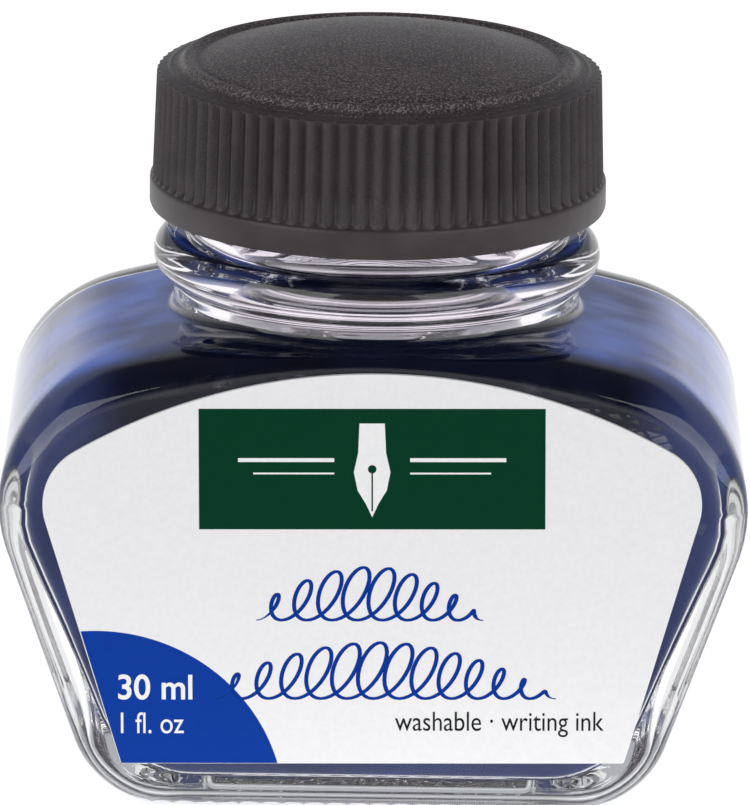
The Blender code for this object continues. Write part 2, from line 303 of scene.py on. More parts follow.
def shoulder_rings(shell, steps, join_steps, top_z, join_gap):
    """Rings from the widest place over the shoulder to the upright cylinder."""
    base_z = shell.outline.corner_z
    width = shell.outline.corner_x + shell.outline.corner_radius
    x0, y0 = plan_quarter(width, shell.half_depth,
                          *shell.edge_at(np.array(width), np.array(base_z)))
    angle = np.linspace(0, math.pi / 2, QUARTER + 1)
    reach = shell.radius + join_gap
    x1, y1 = reach * np.sin(angle), -reach * np.cos(angle)
    y1 = np.maximum(y1, -(shell.half_depth - 0.6))
    z1 = shell.outline.height(x1)
    rings = []
    for t in np.linspace(0, math.pi / 2, steps + 1)[1:]:
        u, v = 1 - math.cos(t), math.sin(t)
        rings.append(shell.settle(mirror_quarter(x0 + (x1 - x0) * u, y0 + (y1 - y0) * u,
                                                 base_z + (z1 - base_z) * v)))
    x2, y2 = shell.radius * np.sin(angle), -shell.radius * np.cos(angle)
    for k in range(1, join_steps + 1):
        t = k / join_steps
        pull = 1 - (1 - t) ** 2
        ring = mirror_quarter(x1 + (x2 - x1) * pull, y1 + (y2 - y1) * pull,
                              z1 + (top_z - z1) * t ** 2)
        rings.append(shell.settle(ring) if k < join_steps else ring)
    return rings


# ---------------------------------------------------------------- materials

GLASS_IOR = 1.52
INK_IOR = 1.34


def new_material(name):
    """A material with its nodes, its links and its shader."""
    made = bpy.data.materials.new(name)
    made.use_nodes = True
    nodes = made.node_tree.nodes
    return made, nodes, made.node_tree.links, nodes["Principled BSDF"]


def set_inputs(node, **values):
    """Sets a node's inputs by name, with an underscore for each space."""
    for key, value in values.items():
        node.inputs[key.replace("_", " ")].default_value = value


def coordinates(nodes, links, kind="Object"):
    """The place (or the normal) of a shaded point as separate X, Y and Z outputs."""
    place = nodes.new("ShaderNodeTexCoord")
    split = nodes.new("ShaderNodeSeparateXYZ")
    links.new(place.outputs[kind], split.inputs["Vector"])
    return split.outputs


def between(nodes, links, source, start, end, low=0.0, high=1.0, smooth=True):
    """Runs from low to high as the source runs from start to end."""
    made = nodes.new("ShaderNodeMapRange")
    if smooth:
        made.interpolation_type = "SMOOTHSTEP"
    set_inputs(made, From_Min=start, From_Max=end, To_Min=low, To_Max=high)
    links.new(source, made.inputs["Value"])
    return made.outputs["Result"]


def math_node(nodes, links, operation, *inputs):
    """A math node on sockets and numbers."""
    made = nodes.new("ShaderNodeMath")
    made.operation = operation
    for socket, value in zip(made.inputs, inputs):
        if isinstance(value, float):
            socket.default_value = value
        else:
            links.new(value, socket)
    return made.outputs["Value"]


def color_mix(nodes, links, factor, one, two, blend="MIX"):
    """Blends two colour sockets by a factor that is a socket or a number."""
    made = nodes.new("ShaderNodeMix")
    made.data_type, made.blend_type = "RGBA", blend
    if isinstance(factor, float):
        made.inputs["Factor"].default_value = factor
    else:
        links.new(factor, made.inputs["Factor"])
    links.new(one, made.inputs["A"])
    links.new(two, made.inputs["B"])
    return made.outputs["Result"]


def noise(nodes, links, scale, detail=2.0, roughness=0.5):
    """Noise fixed to the piece; the scale is in cells to the metre."""
    place = nodes.new("ShaderNodeTexCoord")
    texture = nodes.new("ShaderNodeTexNoise")
    set_inputs(texture, Scale=scale, Detail=detail, Roughness=roughness)
    links.new(place.outputs["Object"], texture.inputs["Vector"])
    return texture.outputs["Fac"]


def ramp(nodes, links, source, stops):
    """Colours at positions along a source that runs from 0 to 1."""
    made = nodes.new("ShaderNodeValToRGB")
    links.new(source, made.inputs["Fac"])
    elements = made.color_ramp.elements
    while len(elements) < len(stops):
        elements.new(0.5)
    for element, (position, color) in zip(elements, stops):
        element.position = position
        element.color = (*color, 1.0)
    return made.outputs["Color"]


def bump(nodes, links, height, strength, distance, shader):
    """Relief in the shading from a height socket."""
    made = nodes.new("ShaderNodeBump")
    set_inputs(made, Strength=strength, Distance=distance)
    links.new(height, made.inputs["Height"])
    links.new(made.outputs["Normal"], shader.inputs["Normal"])
    return made


def glass_material():
    """Clear flint glass with the faint ripple of a moulded surface, lilac in the thick neck."""
    made, nodes, links, shader = new_material("moulded_glass")
    set_inputs(shader, Roughness=0.0, IOR=GLASS_IOR, Transmission_Weight=1.0)
    height = coordinates(nodes, links)["Z"]
    in_neck = between(nodes, links, height, 0.036, 0.040, smooth=False)
    tint = ramp(nodes, links, in_neck, [(0.0, (0.985, 0.985, 0.99)), (1.0, (0.93, 0.885, 0.93))])
    links.new(tint, shader.inputs["Base Color"])
    relief = bump(nodes, links, noise(nodes, links, 160.0, detail=1.0), 0.2, 0.0004, shader)
    calm = between(nodes, links, height, 0.006, 0.018, high=0.2, smooth=False)
    links.new(calm, relief.inputs["Strength"])      # the base is pressed flat and runs true
    return made


def ink_color(nodes, links):
    """Near black where the ink is deep. Bluer at the sides and the base, where the ink is thin:
    painted light, for the light that comes through the thin ink there. Bluest on the
    upward-facing ink beside and behind the neck: a painted haze, for the light through the
    ink film on the walls and the backdrop's reflection; it is kept off the ink near and in
    front of the neck, where the cap's shade and the dark neck's reflection fall (painted shade)."""
    cloud = noise(nodes, links, 130.0, detail=3.0)
    deep = ramp(nodes, links, cloud,
                [(0.3, (0.0016, 0.0022, 0.008)), (0.75, (0.0035, 0.005, 0.021))])
    # painted light: bluer ink for the light that comes through thin ink at the sides and the base
    thin = ramp(nodes, links, cloud,
                [(0.3, (0.015, 0.023, 0.085)), (0.75, (0.026, 0.040, 0.135))])
    # painted haze: bright blue for the light through the ink film and the backdrop's reflection
    film = ramp(nodes, links, cloud, [(0.35, (0.01, 0.03, 0.16)), (0.6, (0.05, 0.12, 0.50))])
    place = coordinates(nodes, links)
    outward = math_node(nodes, links, "ABSOLUTE", place["X"])
    upward = between(nodes, links, coordinates(nodes, links, "Normal")["Z"], 0.1, 0.6)
    light_through_side = between(nodes, links, outward, 0.019, 0.0245)
    light_through_base = between(nodes, links, place["Z"], 0.016, 0.008)
    edge = math_node(nodes, links, "MAXIMUM", light_through_side, light_through_base)
    # painted shade: no haze near the neck and at the front, where the cap's shade and the dark
    # neck's reflection fall
    beside = between(nodes, links, outward, 0.012, 0.018)
    behind = between(nodes, links, place["Y"], -0.0125, -0.0105)
    clear_of_cap_shade = math_node(nodes, links, "MULTIPLY", beside, behind)
    painted_haze_mask = math_node(nodes, links, "MULTIPLY", clear_of_cap_shade, upward)
    body = color_mix(nodes, links, edge, deep, thin)
    return color_mix(nodes, links, painted_haze_mask, body, film)


def ink_material():
    """Dark blue ink. It wets the glass and is seen from inside the glass, so it mirrors with
    the index of ink against glass; an emission of the ink's own colour is painted light,
    standing in for light scattered inside the ink and coming through it."""
    made, nodes, links, shader = new_material("ink_against_glass")
    nodes.remove(shader)
    color = ink_color(nodes, links)
    body = nodes.new("ShaderNodeBsdfDiffuse")
    # painted light: the ink also emits its own colour, though it is no lamp
    painted_glow = nodes.new("ShaderNodeEmission")
    painted_glow.inputs["Strength"].default_value = 0.5
    for part in (body, painted_glow):
        links.new(color, part.inputs["Color"])
    lit = nodes.new("ShaderNodeAddShader")
    links.new(body.outputs["BSDF"], lit.inputs[0])
    links.new(painted_glow.outputs["Emission"], lit.inputs[1])
    mirror = nodes.new("ShaderNodeBsdfGlossy")
    mirror.inputs["Roughness"].default_value = 0.0
    gloss = nodes.new("ShaderNodeFresnel")
    gloss.inputs["IOR"].default_value = INK_IOR / GLASS_IOR
    join = nodes.new("ShaderNodeMixShader")
    links.new(gloss.outputs["Fac"], join.inputs["Fac"])
    links.new(lit.outputs["Shader"], join.inputs[1])
    links.new(mirror.outputs["BSDF"], join.inputs[2])
    links.new(join.outputs["Shader"], nodes["Material Output"].inputs["Surface"])
    return made


def groove_shade(nodes, links, height, smooth_below, ribs_below):
    """Darkens the grooves between the ribs, which lie in shade, and nothing above the ribs."""
    place = nodes.new("ShaderNodeTexCoord")
    flat = nodes.new("ShaderNodeVectorMath")
    flat.operation = "MULTIPLY"
    flat.inputs[1].default_value = (1, 1, 0)
    links.new(place.outputs["Object"], flat.inputs[0])
    radius = nodes.new("ShaderNodeVectorMath")
    radius.operation = "LENGTH"
    links.new(flat.outputs["Vector"], radius.inputs[0])
    draft = (RIB_LOW_RADIUS - RIB_HIGH_RADIUS) / (ribs_below - smooth_below)
    upright = math_node(nodes, links, "MULTIPLY_ADD", height, draft, radius.outputs["Value"])
    crest = RIB_LOW_RADIUS + smooth_below * draft
    groove = between(nodes, links, upright, (crest - RIB_DEPTH) * MM, (crest - 0.1) * MM,
                     low=0.3, smooth=False)
    above = math_node(nodes, links, "GREATER_THAN", height, ribs_below * MM)
    return math_node(nodes, links, "MAXIMUM", groove, above)


def plastic_material(smooth_below, ribs_below):
    """Black polypropylene with a spark-eroded grain whose specks are painted lighter, as painted
    glints for the light the grain catches: none on the band, little on the ribs, most on the top."""
    made, nodes, links, shader = new_material("black_cap_plastic")
    tone = ramp(nodes, links, noise(nodes, links, 260.0, detail=3.0, roughness=0.6),
                [(0.35, (0.035, 0.028, 0.029)), (0.7, (0.052, 0.042, 0.043))])
    grain = noise(nodes, links, 5200.0, detail=2.0, roughness=0.7)
    height = coordinates(nodes, links)["Z"]
    step, rise = 0.3, 0.6               # millimetres from band to ribs and from ribs to top
    span = ribs_below + rise - smooth_below
    zones = between(nodes, links, height, smooth_below * MM, (ribs_below + rise) * MM,
                    smooth=False)
    amount = ramp(nodes, links, zones, [(0.0, (0.12,) * 3), (step / span, (0.72,) * 3),
                                        (1 - rise / span, (0.72,) * 3), (1.0, (1.0,) * 3)])
    relief = math_node(nodes, links, "MULTIPLY", grain, amount)
    # painted glints: lighter specks where the grain stands high, added to the plastic's colour
    painted_glint = ramp(nodes, links, relief, [(0.50, (0, 0, 0)), (0.63, (0.17, 0.15, 0.153))])
    color = color_mix(nodes, links, 1.0, tone, painted_glint, "ADD")
    shaded = nodes.new("ShaderNodeVectorMath")
    shaded.operation = "SCALE"
    links.new(color, shaded.inputs[0])
    links.new(groove_shade(nodes, links, height, smooth_below, ribs_below),
              shaded.inputs["Scale"])
    links.new(shaded.outputs["Vector"], shader.inputs["Base Color"])
    set_inputs(shader, Roughness=0.42, Specular_IOR_Level=0.32)
    bump(nodes, links, relief, 0.7, 0.0001, shader)
    return made


def paper_material(name, color, roughness=0.45, specular=0.3):
    """Coated label stock or a printed colour on it, with fine fibre."""
    made, nodes, links, shader = new_material(name)
    fibre = noise(nodes, links, 2200.0, detail=3.0)
    faint = tuple(channel * 0.97 for channel in color)
    tone = ramp(nodes, links, fibre, [(0.35, faint), (0.65, color)])
    links.new(tone, shader.inputs["Base Color"])
    set_inputs(shader, Roughness=roughness, Specular_IOR_Level=specular)
    bump(nodes, links, fibre, 0.08, 0.00003, shader)
    return made


def foam_material():
    """Off-white closed-cell foam."""
    made, nodes, links, shader = new_material("wad_foam")
    cells = nodes.new("ShaderNodeTexVoronoi")
    place = nodes.new("ShaderNodeTexCoord")
    links.new(place.outputs["Object"], cells.inputs["Vector"])
    set_inputs(cells, Scale=2600.0)
    tone = ramp(nodes, links, cells.outputs["Distance"],
                [(0.0, (0.72, 0.71, 0.67)), (0.6, (0.84, 0.83, 0.79))])
    links.new(tone, shader.inputs["Base Color"])
    set_inputs(shader, Roughness=0.65)
    bump(nodes, links, cells.outputs["Distance"], 0.3, 0.00006, shader)
    return made


# ---------------------------------------------------------------- glass bottle

OUTER = Shell(Outline(HALF_WIDTH, 39.0, 80.0, 11.6, 0.0, 7.8, TILT), HALF_DEPTH,
              (2.9, 2.9, 2.2), (3.3, 1.9, 7.0), RECESS_RADIUS, 0.5)
CAVITY = Shell(Outline(HALF_WIDTH - WALL_SIDE, 36.2, 78.0, 9.5, WALL_BASE, 8.0,
                       math.radians(22)),
               HALF_DEPTH - WALL_FACE, (1.4, 1.6, 2.5), (2.0, 2.2, 6.5), BORE_RADIUS, 3.0)
SHOULDER_STEPS, JOIN_STEPS = 48, 8
FOOT_REFINE = 3                     # the knurled foot has this many times the points
KNURL_PITCH = 1.74
KNURL_HEIGHT = 0.3
FOOT_HEIGHT = 0.6
FOOT_WIDTH = 3.0


def refine_ring(ring, times):
    """The same ring with extra points between its neighbours."""
    after = np.roll(ring, -1, axis=0)
    steps = [ring + (after - ring) * k / times for k in range(times)]
    return np.stack(steps, axis=1).reshape(-1, 3)


def knurl(ring, height):
    """Scallops with their cusps on the table, at an even pitch along the ring."""
    step = np.linalg.norm(np.roll(ring, -1, axis=0) - ring, axis=1)
    along = np.concatenate([[0], np.cumsum(step)[:-1]])
    count = round(step.sum() / KNURL_PITCH)
    ring = ring.copy()
    ring[:, 2] += height * np.abs(np.sin(math.pi * count * along / step.sum()))
    return ring


def foot_rings():
    """From the middle of the base over the knurled bearing ring to the lower heel."""
    flat_x, flat_y = OUTER.outline.heel_x, HALF_DEPTH - OUTER.edge_depths[0]
    rings = []

    def rounded(width, depth, corner, z, scallop=0.0):
        x, y = plan_quarter(width, depth, corner, corner)
        ring = refine_ring(mirror_quarter(x, y, np.full(len(x), float(z))), FOOT_REFINE)
        rings.append(knurl(ring, scallop) if scallop else ring)

    inner_x, inner_y = flat_x - FOOT_WIDTH, flat_y - FOOT_WIDTH
    for share in (0.15, 0.4, 0.65, 0.85):
        x, y = plan_quarter(inner_x * share, inner_y * share, 4.0 * share, 4.0 * share)
        rings.append(mirror_quarter(x, y, np.full(len(x), FOOT_HEIGHT)))
    rounded(inner_x - 0.7, inner_y - 0.7, 3.8, FOOT_HEIGHT)
    rounded(inner_x - 0.35, inner_y - 0.35, 3.9, FOOT_HEIGHT * 0.85)
    rounded(inner_x, inner_y, 4.0, FOOT_HEIGHT * 0.45)
    for share, scallop in ((0.1, 0.5), (0.3, 0.9), (0.5, 1.0), (0.75, 1.0), (1.0, 1.0)):
        rounded(inner_x + FOOT_WIDTH * share, inner_y + FOOT_WIDTH * share, 3.6, 0.02,
                KNURL_HEIGHT * scallop)
    for z, scallop in ((0.06, 1.0), (0.18, 0.9), (0.35, 0.6), (0.6, 0.25)):
        ring = refine_ring(slice_ring(OUTER, z), FOOT_REFINE)
        rings.append(knurl(ring, KNURL_HEIGHT * scallop))
    return rings


def neck_profile():
    """(radius, z) from the recess over the bead to the thread's root."""
    center = BEAD_RADIUS - BEAD_SECTION
    low = [(RECESS_RADIUS + 0.02, BEAD_Z - 1.98)] + arc((center, BEAD_Z), BEAD_SECTION, -76, 0, 10)
    high = arc((center, BEAD_Z), BEAD_SECTION, 0, 58, 8)[1:]
    blend_radius = 1.3
    blend_x = NECK_RADIUS + blend_radius
    last = high[-1]
    turn = arc((blend_x, last[1] + 0.75), blend_radius, 235, 180, 5)
    return low + high + [(last[0] - 0.45, last[1] + 0.16)] + turn


def thread_height(angle, z, top_z, height, root_width, crest_width):
    """Height of a helical ridge over its root, at angles (from +X) and a height z."""
    sweep = THREAD_TURNS * 2 * math.pi
    result = np.zeros_like(angle)
    for turn in range(-1, 3):
        run = angle - THREAD_START + turn * 2 * math.pi
        middle = top_z - LEAD * THREAD_TURNS + LEAD * run / (2 * math.pi)
        off = np.abs(z - middle)
        fade = np.clip(np.minimum(run, sweep - run) / THREAD_FADE, 0, 1)
        fade = np.sin(fade * math.pi / 2)
        slope = np.clip((root_width / 2 - off) / ((root_width - crest_width) / 2), 0, 1)
        shape = slope * slope * (3 - 2 * slope)
        result = np.maximum(result, height * fade * shape)
    return result


def ring_angles(count):
    """Angles from +X of the points of a circle() ring."""
    return np.linspace(0, 2 * math.pi, count, endpoint=False) - math.pi / 2


def glass_rings():
    """The whole glass: foot, side, shoulder, neck and thread, then down the bore."""
    rings = foot_rings()
    heel = [OUTER.outline.heel_radius * (1 - math.sin(a))
            for a in np.radians(np.linspace(66, 0, 12))]
    rings += [slice_ring(OUTER, z) for z in heel]
    rings += [slice_ring(OUTER, z) for z in np.linspace(heel[-1], OUTER.outline.corner_z, 16)[1:]]
    rings += shoulder_rings(OUTER, SHOULDER_STEPS, JOIN_STEPS, RECESS_TOP_Z, 0.8)
    rings += turned(neck_profile(), RING)
    thread_low = rings[-1][0][2]
    for z in np.linspace(thread_low, RIM_Z - RIM_ROUND, 44)[1:]:
        lift = thread_height(ring_angles(RING), z, THREAD_TOP_Z, THREAD_HEIGHT, THREAD_ROOT,
                             THREAD_CREST)
        rings.append(circle(NECK_RADIUS + lift, z, RING))
    rim = arc((NECK_RADIUS - RIM_ROUND, RIM_Z - RIM_ROUND), RIM_ROUND, 0, 90, 5)[1:]
    rim += arc((BORE_RADIUS + MOUTH_ROUND, RIM_Z - MOUTH_ROUND), MOUTH_ROUND, 90, 180, 5)
    bore = [(BORE_RADIUS, z) for z in np.linspace(RIM_Z - 2, CAVITY_TOP_Z + 0.4, 10)]
    return rings + turned(rim + bore, RING) + cavity_rings()[::-1]


def cavity_rings():
    """The cavity from the middle of its floor up to the bore."""
    outline = CAVITY.outline
    rings = []
    for share in (0.2, 0.45, 0.7, 0.9):
        x, y = plan_quarter(outline.heel_x * share, (CAVITY.half_depth - 3.5) * share,
                            3.2 * share, 3.2 * share)
        rings.append(mirror_quarter(x, y, np.full(len(x), outline.bottom)))
    heel = [outline.bottom + outline.heel_radius * (1 - math.sin(a))
            for a in np.radians(np.linspace(84, 0, 12))]
    rings += [slice_ring(CAVITY, z) for z in heel]
    rings += [slice_ring(CAVITY, z) for z in np.linspace(heel[-1], outline.corner_z, 12)[1:]]
    rings += shoulder_rings(CAVITY, 30, JOIN_STEPS, CAVITY_TOP_Z, 2.2)
    return rings


def make_glass():
    """One closed skin, outside and inside."""
    bm = bmesh.new()
    skin_rings(bm, glass_rings())
    return to_object("glass_body", bm, glass_material(), "bottle",
                     ["glass_bottle"], sharp_angle=None)


def make_ink():
    """The ink wets the glass: it reaches a hair into the wall and climbs in a meniscus."""
    wet = 0.03
    rings = [ring for ring in cavity_rings() if ring[:, 2].max() < INK_LEVEL - 0.1]
    edge = rings[-1].copy()
    edge[:, 2] = INK_LEVEL
    rings.append(CAVITY.settle(edge, keep_z=True))
    grown = []
    for ring in rings:
        away = ring - np.array([0, 0, 20.0])
        away /= np.linalg.norm(away, axis=1)[:, None]
        grown.append(ring + away * wet)
    edge = grown[-1]
    for inward, drop in ((0.25, 0.25), (0.7, 0.4), (1.4, 0.45), (5.0, 0.45)):
        ring = edge.copy()
        size = np.linalg.norm(ring[:, :2], axis=1)[:, None]
        ring[:, :2] *= (size - inward) / size
        ring[:, 2] = INK_LEVEL - drop
        grown.append(ring)
    bm = bmesh.new()
    skin_rings(bm, grown)
    return to_object("ink_fill", bm, ink_material(), "bottle", ["ink"], sharp_angle=None)


# ---------------------------------------------------------------- cap and wad

TOP_POINTS = 2 * RIB_COUNT          # points of a plain ring of the cap
RIB_POINTS = 6 * RIB_COUNT          # points of a ribbed ring
RING_RADIUS, RING_Z = 15.5, 57.76   # crest of the raised ring on the top
DOME_RADIUS, DOME_LOW_Z = 14.3, 57.56


def rib_ring(radius, z, depth):
    """A ring that sinks by a depth between the ribs' crests."""
    angles = np.linspace(0, 2 * math.pi, RIB_POINTS, endpoint=False)
    wave = 0.5 - 0.5 * np.cos(RIB_COUNT * angles)
    return circle(radius - depth * wave ** 0.9, z, RIB_POINTS)


def cap_rings():
    """The outside: smooth band, ribbed grip, bevelled edge, raised ring, groove and dome."""
    base, top = CAP_LOW.z, CAP_HIGH.z
    band, band_top = CAP_HIGH.x, base + BAND_HEIGHT
    rings = turned([(band - 0.9, base), (band - 0.35, base), (band - 0.1, base + 0.1),
                    (band, base + 0.35), (band, band_top - 0.3), (band - 0.03, band_top - 0.1)],
                   TOP_POINTS)
    rings.append(circle(band - 0.12, band_top, RIB_POINTS))
    for share, depth in ((0.0, 0.0), (0.015, 0.45), (0.05, 0.95), (0.3, 1.0), (0.6, 1.0),
                         (0.9, 1.0), (0.96, 0.85), (0.99, 0.45)):
        radius = RIB_LOW_RADIUS + (RIB_HIGH_RADIUS - RIB_LOW_RADIUS) * share
        z = band_top + 0.05 + (RIB_TOP_Z - band_top) * share
        rings.append(rib_ring(radius, z, RIB_DEPTH * depth))
    rings.append(circle(RIB_HIGH_RADIUS - 0.22, RIB_TOP_Z + 0.04, RIB_POINTS))
    edge = [(17.3, 56.80), (17.0, 56.86), (16.88, 56.94), (16.80, 57.02), (16.70, 57.06),
            (16.55, 57.04), (16.2, 57.12), (15.9, 57.36), (15.75, 57.58), (15.65, 57.70)]
    ring = [(RING_RADIUS, RING_Z), (15.33, 57.75), (15.1, 57.66), (14.85, 57.52)]
    groove = [(14.7, 57.46), (14.55, 57.42), (14.45, 57.45), (DOME_RADIUS, DOME_LOW_Z)]
    steps = 14
    dome = [(DOME_RADIUS * (1 - k / steps),
             DOME_LOW_Z + (top - DOME_LOW_Z) * (1 - (1 - k / steps) ** 2.1))
            for k in range(1, steps)]
    return rings + turned(edge + ring + groove + dome, TOP_POINTS)


def cap_inner_rings():
    """The inside, from the ceiling's middle down to the mouth, with the female thread."""
    corner = 0.4
    ceiling = [(radius, CAP_CEILING) for radius in (3.0, 8.0, 13.0, 15.6)]
    ceiling += arc((CAP_BORE - corner, CAP_CEILING - corner), corner, 90, 0, 3)
    rings = turned(ceiling, TOP_POINTS)
    angles = ring_angles(TOP_POINTS)
    for z in np.linspace(CAP_CEILING - 2 * corner, CAP_LOW.z + 0.8, 46):
        lift = thread_height(angles, z, THREAD_TOP_Z - CAP_THREAD_BELOW, CAP_THREAD_HEIGHT,
                             CAP_THREAD_ROOT, CAP_THREAD_CREST)
        rings.append(circle(CAP_BORE - lift, z, TOP_POINTS))
    mouth = [(CAP_BORE + 0.1, CAP_LOW.z + 0.3), (CAP_BORE + 0.45, CAP_LOW.z)]
    return rings + turned(mouth, TOP_POINTS)


def make_cap():
    """One closed skin from the middle of the ceiling to the middle of the dome."""
    bm = bmesh.new()
    skin_rings(bm, cap_inner_rings() + cap_rings())
    black = plastic_material(CAP_LOW.z + BAND_HEIGHT - 0.1, RIB_TOP_Z)
    return to_object("cap_shell", bm, black, "cap", ["screw_cap"], 38)


def make_wad():
    """The wad, dented where the mouth of the bottle has pressed on it."""
    low, high, radius = LINER_LOW.z, LINER_HIGH.z, LINER_HIGH.x
    under = [(4.0, low), (9.0, low), (11.3, low + 0.01), (11.9, low + 0.09), (13.2, low + 0.10),
             (14.4, low + 0.09), (14.9, low + 0.01), (radius - 0.25, low), (radius, low + 0.2)]
    over = [(radius, high - 0.2), (radius - 0.25, high), (9.0, high), (4.0, high)]
    bm = bmesh.new()
    skin_rings(bm, turned(under + over, 96))
    return to_object("sealing_wad", bm, foam_material(), "liner", ["cap_liner"], 38)


# ---------------------------------------------------------------- labels

LABEL_OUTLINE = Outline(LABEL_HIGH.x, LABEL_HIGH.z, 46.6, 5.0, LABEL_LOW.z, 0.2,
                        math.radians(16.4))
LABEL_FACE = -LABEL_LOW.y - 0.06    # the paper's face; the print stands just proud of it
PAPER_GAP = 0.02                    # between a label's back and the glass
PRINT_THICKNESS = 0.012
SKEW = Matrix.Rotation(math.radians(-0.825), 3, "Y")     # the front label sits slightly askew
SKEW_CENTER = Vector((0, 0, 20.0))


def skewed(bm):
    """Turns a bmesh of the front label by the label's skew."""
    for v in bm.verts:
        v.co = SKEW_CENTER + SKEW @ (v.co - SKEW_CENTER)
    return bm


def flat_solid(bm, polygon, front, thickness):
    """A thin upright sheet with the given (x, z) outline, its front at y = -front."""
    faces = []
    for y in (-front, -front + thickness):
        faces.append([bm.verts.new((x, y, z)) for x, z in polygon])
    bm.faces.new(faces[0])
    bm.faces.new(faces[1][::-1])
    for i in range(len(polygon)):
        j = (i + 1) % len(polygon)
        bm.faces.new((faces[0][j], faces[0][i], faces[1][i], faces[1][j]))


def print_solid(name, polygons, surface, layer=1):
    """Printed shapes as sheets on the front label; higher layers lie over lower ones."""
    bm = bmesh.new()
    for polygon in polygons:
        flat_solid(bm, polygon, LABEL_FACE + PRINT_THICKNESS * layer, PRINT_THICKNESS)
    bmesh.ops.recalc_face_normals(bm, faces=bm.faces)
    return to_object(name, skewed(bm), surface, "bottle", sharp_angle=30)


def label_polygon(outline):
    """The label's outline, from the bottom left corner round the arch."""
    right = []
    heel = (outline.heel_x, outline.heel_z)
    right += arc(heel, outline.heel_radius, -90, -math.degrees(outline.tilt), 4)
    top = 90 - math.degrees(outline.corner_start)
    right += arc((outline.corner_x, outline.corner_z), outline.corner_radius,
                 -math.degrees(outline.tilt), top, 16)
    right += arc((0, outline.arch_z), outline.arch_radius, top, 90, 24)[1:]
    return right + [(-x, z) for x, z in right[-2::-1]]


def ribbon(points, width):
    """The outline of a pen stroke along a path, thinner where it runs level."""
    path = np.array(points)
    along = np.gradient(path, axis=0)
    along /= np.linalg.norm(along, axis=1)[:, None]
    side = np.stack([-along[:, 1], along[:, 0]], axis=1)
    share = np.linspace(0, 1, len(path))
    taper = np.clip(np.minimum(share, 1 - share) * 30, 0.35, 1)
    half = 0.5 * width * taper * (0.8 + 0.35 * np.abs(along[:, 1]))
    return path + side * half[:, None], path - side * half[:, None]


def pen_stroke(name, points, width, surface):
    """A pen stroke as a thin closed sheet."""
    bm = bmesh.new()
    front = LABEL_FACE + PRINT_THICKNESS
    left, right = ribbon(points, width)
    rings = []
    for k, (a, b) in enumerate(zip(left, right)):
        y = -front - 0.01 * k / len(left)           # a crossing lies over the earlier line
        rings.append([bm.verts.new((p[0], level, p[1])) for p, level in
                      ((a, y), (b, y), (b, y + PRINT_THICKNESS), (a, y + PRINT_THICKNESS))])
    for one, two in zip(rings, rings[1:]):
        for i in range(4):
            j = (i + 1) % 4
            bm.faces.new((one[i], one[j], two[j], two[i]))
    bm.faces.new(rings[0][::-1])
    bm.faces.new(rings[-1])
    bmesh.ops.recalc_face_normals(bm, faces=bm.faces)
    return to_object(name, skewed(bm), surface, "bottle", sharp_angle=30)


def coil(start, end, base, loops, height, curl, steps=30):
    """A pen-test coil: even loops that swell and die away, drawn out into a tail."""
    points = []
    for k in range(loops * steps + 1):
        turn = k / steps
        share = turn / loops
        swell = math.sin(math.pi * min(share * 1.6 + 0.12, 1.0) ** 0.8 * 0.5) * (1 - share ** 3)
        swing = 0.5 - 0.5 * math.cos(2 * math.pi * turn)
        lean = 0.35 * height * swell * swing            # the loops lean forward
        points.append((start + (end - start) * share + lean
                       + curl * swell * math.sin(2 * math.pi * turn),
                       base + height * swell * swing))
    return points


def printed_text(name, words, low, high, surface, weight=0.0, layer=1):
    """Set text, stretched to fill the box between two (x, z) corners."""
    curve = bpy.data.curves.new(name, "FONT")
    curve.body = words
    curve.extrude = 0.5
    curve.offset = weight
    setter = bpy.data.objects.new(name, curve)
    bpy.context.scene.collection.objects.link(setter)
    graph = bpy.context.evaluated_depsgraph_get()
    mesh = bpy.data.meshes.new_from_object(setter.evaluated_get(graph))
    bpy.data.objects.remove(setter)
    bm = bmesh.new()
    bm.from_mesh(mesh)
    bmesh.ops.remove_doubles(bm, verts=bm.verts, dist=1e-6)
    bmesh.ops.dissolve_degenerate(bm, edges=bm.edges, dist=1e-4)
    spots = np.array([v.co for v in bm.verts])
    least, most = spots.min(axis=0), spots.max(axis=0)
    front = -(LABEL_FACE + PRINT_THICKNESS * layer)
    for v in bm.verts:
        x, z, depth = ((v.co[i] - least[i]) / (most[i] - least[i]) for i in range(3))
        v.co = (low[0] + (high[0] - low[0]) * x, front + PRINT_THICKNESS * (1 - depth),
                low[1] + (high[1] - low[1]) * z)
    return to_object(name, skewed(bm), surface, "bottle", sharp_angle=30)


def label_sheet(front):
    """A sheet of label stock, its front at y = -front."""
    bm = bmesh.new()
    flat_solid(bm, label_polygon(LABEL_OUTLINE), front, LABEL_FACE - HALF_DEPTH - PAPER_GAP)
    bmesh.ops.recalc_face_normals(bm, faces=bm.faces)
    return bm


